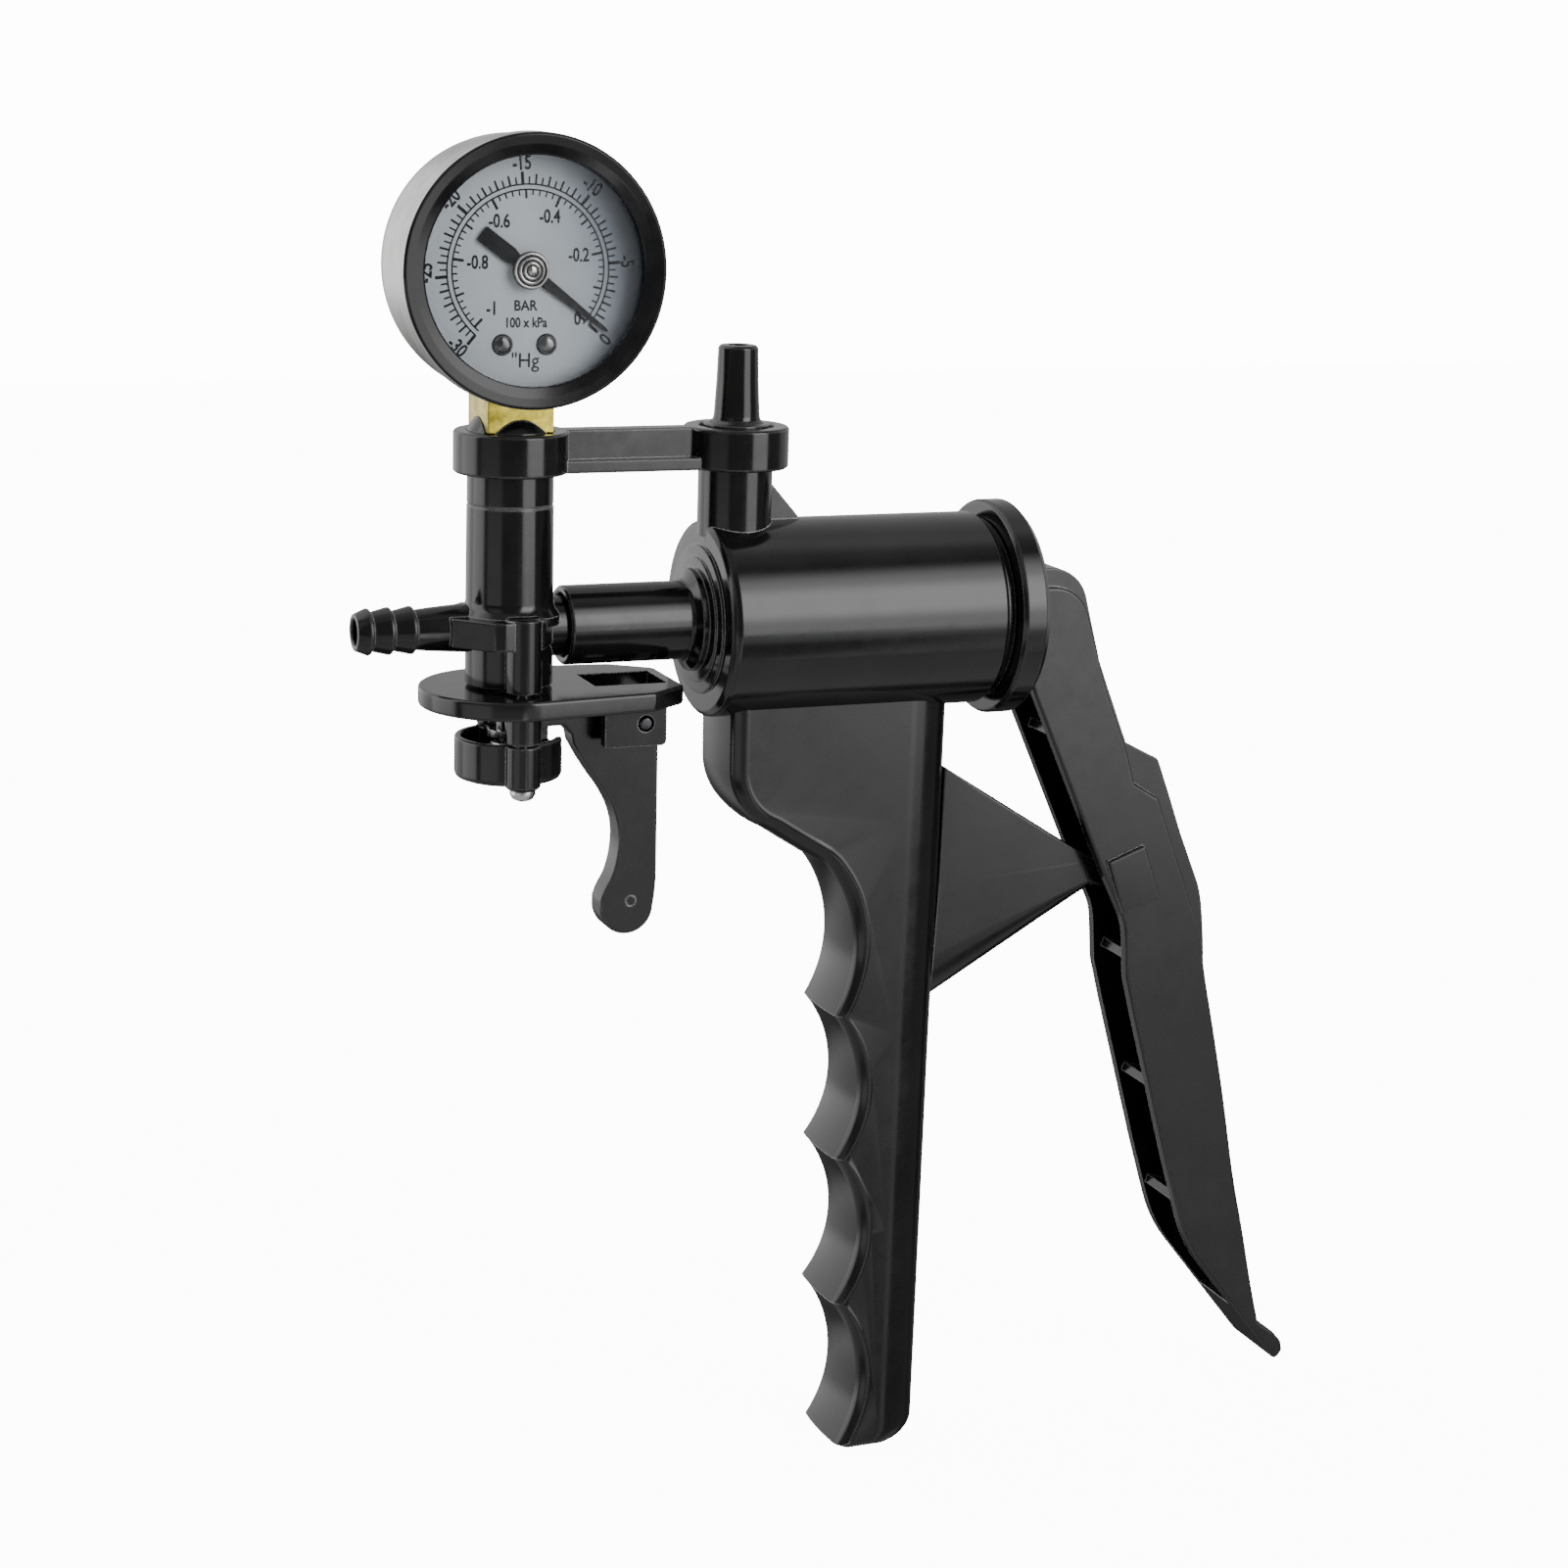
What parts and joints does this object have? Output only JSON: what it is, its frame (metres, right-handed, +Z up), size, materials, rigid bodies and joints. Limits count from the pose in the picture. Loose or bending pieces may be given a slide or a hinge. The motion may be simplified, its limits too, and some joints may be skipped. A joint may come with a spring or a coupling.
{
  "type": "hand vacuum pump",
  "caption": "Pistol-grip hand vacuum pump: squeeze lever drives a piston in the barrel; a T-body carries the hose barb, dial gauge and trigger-operated relief valve.",
  "frame": {"origin": "middle of the hand hold on the grip, on the pump's mid plane", "axes": "+X from the hose end towards the lever, along the barrel; +Y away from the dial's viewer; +Z up, from the grip's foot to the gauge"},
  "size_m": [0.1741, 0.0362, 0.2265],
  "materials": {
    "moulded_plastic": "semi-gloss black moulded plastic with a fine moulding texture",
    "gauge_enamel": "glossy black enamel on sheet steel",
    "gauge_brass": "machined brass with fine turning marks",
    "plated_steel": "bright zinc-plated steel",
    "seal_rubber": "matt black nitrile rubber",
    "lens_clear": "clear polycarbonate window",
    "dial_face": "satin pale blue-grey printed dial"
  },
  "bodies": {
    "pump_body": {"t_body": "moulded_plastic", "hinge_plate": "moulded_plastic", "valve_cup": "moulded_plastic", "cup_screw_front": "plated_steel", "cup_screw_rear": "plated_steel", "bridge_strap": "moulded_plastic", "barrel": "moulded_plastic", "exhaust_spigot": "moulded_plastic", "spigot_oring": "seal_rubber", "grip": "moulded_plastic", "pivot_bracket": "moulded_plastic", "rear_cap": "moulded_plastic", "rod_bush": "moulded_plastic", "pivot_pin": "plated_steel", "trigger_pin": "plated_steel", "gauge_stem": "gauge_brass", "gauge_case": "gauge_enamel", "gauge_bezel": "gauge_enamel", "gauge_lens": "lens_clear", "gauge_dial": "dial_face", "dial_screw_left": "plated_steel", "dial_screw_right": "plated_steel", "movement_plate": "gauge_brass", "bourdon_tube": "gauge_brass", "piston_spring": "plated_steel", "relief_spring": "plated_steel"},
    "lever": {"lever": "moulded_plastic"},
    "piston": {"piston_rod": "plated_steel", "piston": "moulded_plastic", "piston_seal": "seal_rubber", "piston_screw": "plated_steel", "rod_pin": "plated_steel"},
    "trigger": {"trigger": "moulded_plastic"},
    "relief_valve": {"relief_plunger": "plated_steel", "relief_seal": "seal_rubber"},
    "needle": {"needle": "gauge_enamel", "needle_hub": "plated_steel", "needle_arbor": "gauge_brass"},
    "sector": {"sector_gear": "gauge_brass"},
    "inlet_valve": {"inlet_valve_disc": "seal_rubber"},
    "exhaust_valve": {"exhaust_valve_disc": "seal_rubber"}
  },
  "joints": [
    {"name": "lever_squeeze", "type": "hinge", "parent": "pump_body", "child": "lever", "pos_m": [0.0455, 0, 0.0368], "axis": [0, 1, 0], "range_deg": [0, 30], "stiffness_Nm_per_rad": 1.5},
    {"name": "piston_stroke", "type": "slide", "parent": "pump_body", "child": "piston", "axis": [1, 0, 0], "range_m": [0, 0.0265], "deforming": ["piston_spring"]},
    {"name": "trigger_pull", "type": "hinge", "parent": "pump_body", "child": "trigger", "pos_m": [-0.045, 0, 0.0696], "axis": [0, -1, 0], "range_deg": [0, 7], "stiffness_Nm_per_rad": 0.4},
    {"name": "relief_slide", "type": "slide", "parent": "pump_body", "child": "relief_valve", "axis": [0, 0, -1], "range_m": [0, 0.0028], "deforming": ["relief_spring"]},
    {"name": "needle_sweep", "type": "hinge", "parent": "pump_body", "child": "needle", "pos_m": [-0.066, 0, 0.1423], "axis": [0, -1, 0], "range_deg": [-4, 264], "stiffness_Nm_per_rad": 0.0005},
    {"name": "sector_swing", "type": "hinge", "parent": "pump_body", "child": "sector", "pos_m": [-0.066, -0.0044, 0.1338], "axis": [0, -1, 0], "range_deg": [-38, 1]},
    {"name": "inlet_valve_lift", "type": "slide", "parent": "pump_body", "child": "inlet_valve", "axis": [1, 0, 0], "range_m": [0, 0.0008], "stiffness_N_per_m": 20},
    {"name": "exhaust_valve_lift", "type": "slide", "parent": "pump_body", "child": "exhaust_valve", "axis": [0, 0, 1], "range_m": [0, 0.0008], "stiffness_N_per_m": 20}
  ],
  "couplings": [
    {"joint": "piston_stroke", "follows": "lever_squeeze", "m_per_rad": 0.0503},
    {"joint": "relief_slide", "follows": "trigger_pull", "m_per_rad": 0.0226},
    {"joint": "sector_swing", "follows": "needle_sweep", "ratio": -0.14}
  ]
}
